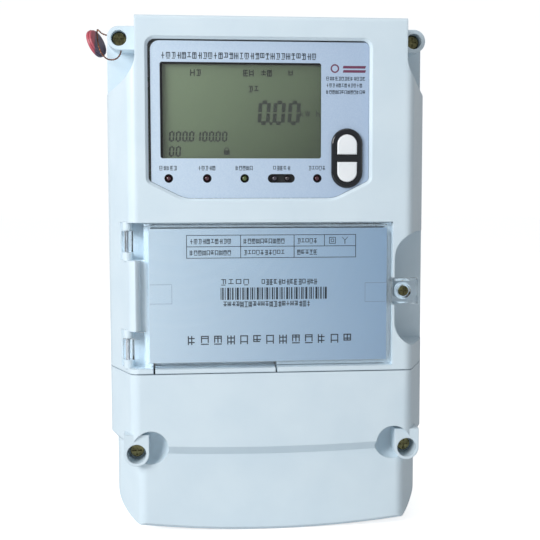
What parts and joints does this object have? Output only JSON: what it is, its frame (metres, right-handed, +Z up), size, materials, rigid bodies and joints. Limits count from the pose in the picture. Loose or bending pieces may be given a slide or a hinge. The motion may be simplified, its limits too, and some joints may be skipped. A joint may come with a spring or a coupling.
{
  "type": "prepaid electricity meter",
  "caption": "Wall-mounted prepaid electricity meter with display window, two push buttons, a clear hinged door, and a removable terminal cover; sealed lugs at its corners.",
  "frame": {"origin": "centre of the case's flat back face, where it stands on the wall", "axes": "+Z up, +X to the right seen from the front, -Y out of the wall towards the reader"},
  "size_m": [0.1808, 0.075, 0.265],
  "materials": {
    "case_plastic": "moulded, fine texture",
    "cover_plastic": "moulded, fine texture",
    "clear_door": "polished polycarbonate",
    "clear_pane": "polished polycarbonate",
    "printed_film": "screen-printed film",
    "printed_card": "laminated print",
    "lcd_panel": "reflective liquid crystal",
    "light_guide": "polished acrylic",
    "black_plastic": "moulded",
    "glossy_black": "moulded, polished",
    "button_plastic": "moulded",
    "red_lens": "epoxy",
    "green_lens": "epoxy",
    "dark_lens": "infrared-pass epoxy",
    "clear_lens": "epoxy",
    "circuit_board": "solder mask",
    "chip_plastic": "moulded",
    "brass": "machined",
    "plated_screw": "yellow-zinc plated",
    "steel": "zinc plated",
    "spring_steel": "nickel plated",
    "copper": "drawn copper",
    "core_steel": "laminated, varnished",
    "tape_yellow": "polyester tape",
    "capacitor_sleeve": "shrink sleeve",
    "arrester_coat": "epoxy coat",
    "battery_sleeve": "shrink sleeve",
    "foam": "closed-cell foam",
    "paper_label": "printed paper",
    "seal_plastic": "moulded"
  },
  "bodies": {
    "case": {"base_shell": "case_plastic", "cover_gasket": "foam", "hanging_plate": "steel", "hanging_plate_rivets": "steel", "main_cover": "cover_plastic", "main_cover_screws": "plated_screw", "display_pane": "clear_pane", "faceplate": "printed_film", "lcd_glass": "lcd_panel", "lcd_bezel": "black_plastic", "lcd_backlight": "light_guide", "lcd_pins": "spring_steel", "display_board": "circuit_board", "pulse_lamps": "red_lens", "relay_lamp": "green_lens", "infrared_emitter": "clear_lens", "infrared_receiver": "dark_lens", "lamp_sleeves": "black_plastic", "button_frame": "glossy_black", "display_switches": "black_plastic", "door_screw_insert": "brass", "door_hinge_pins": "steel", "communication_module": "cover_plastic", "module_board": "circuit_board", "module_socket": "black_plastic", "clock_battery": "battery_sleeve", "battery_holder": "black_plastic", "battery_contacts": "spring_steel", "program_switch": "black_plastic", "main_board": "circuit_board", "board_screws": "steel", "board_link": "black_plastic", "transformer_core": "core_steel", "transformer_bobbin": "tape_yellow", "supply_capacitors": "capacitor_sleeve", "surge_arresters": "arrester_coat", "control_relay": "black_plastic", "alarm_buzzer": "black_plastic", "board_chips": "chip_plastic", "terminal_block": "black_plastic", "main_terminals": "brass", "main_terminal_screws": "steel", "terminal_block_screws": "steel", "current_loops": "copper", "current_transformer_rings": "tape_yellow", "voltage_leads": "copper", "auxiliary_block": "black_plastic", "auxiliary_terminals": "brass", "auxiliary_screws": "steel", "seal_wire": "copper", "seal_disc": "seal_plastic"},
    "door": {"door": "clear_door", "rating_plate": "printed_card", "door_screw": "brass"},
    "upper_button": {"upper_button": "button_plastic"},
    "lower_button": {"lower_button": "button_plastic"},
    "program_button": {"program_button": "button_plastic"},
    "terminal_cover": {"terminal_cover": "cover_plastic", "terminal_cover_screws": "plated_screw", "wiring_label": "paper_label"}
  },
  "joints": [
    {"name": "door_hinge", "type": "hinge", "parent": "case", "child": "door", "pos_m": [-0.074, -0.067, -0.00805], "axis": [0, 0, -1], "range_deg": [0, 115]},
    {"name": "upper_button_press", "type": "slide", "parent": "case", "child": "upper_button", "axis": [0, 1, 0], "range_m": [0, 0.0012], "stiffness_N_per_m": 300},
    {"name": "lower_button_press", "type": "slide", "parent": "case", "child": "lower_button", "axis": [0, 1, 0], "range_m": [0, 0.0012], "stiffness_N_per_m": 300},
    {"name": "program_button_press", "type": "slide", "parent": "case", "child": "program_button", "axis": [0, 1, 0], "range_m": [0, 0.001], "stiffness_N_per_m": 300},
    {"name": "terminal_cover_removal", "type": "slide", "parent": "case", "child": "terminal_cover", "axis": [0, -1, 0], "range_m": [0, 0.06]}
  ]
}
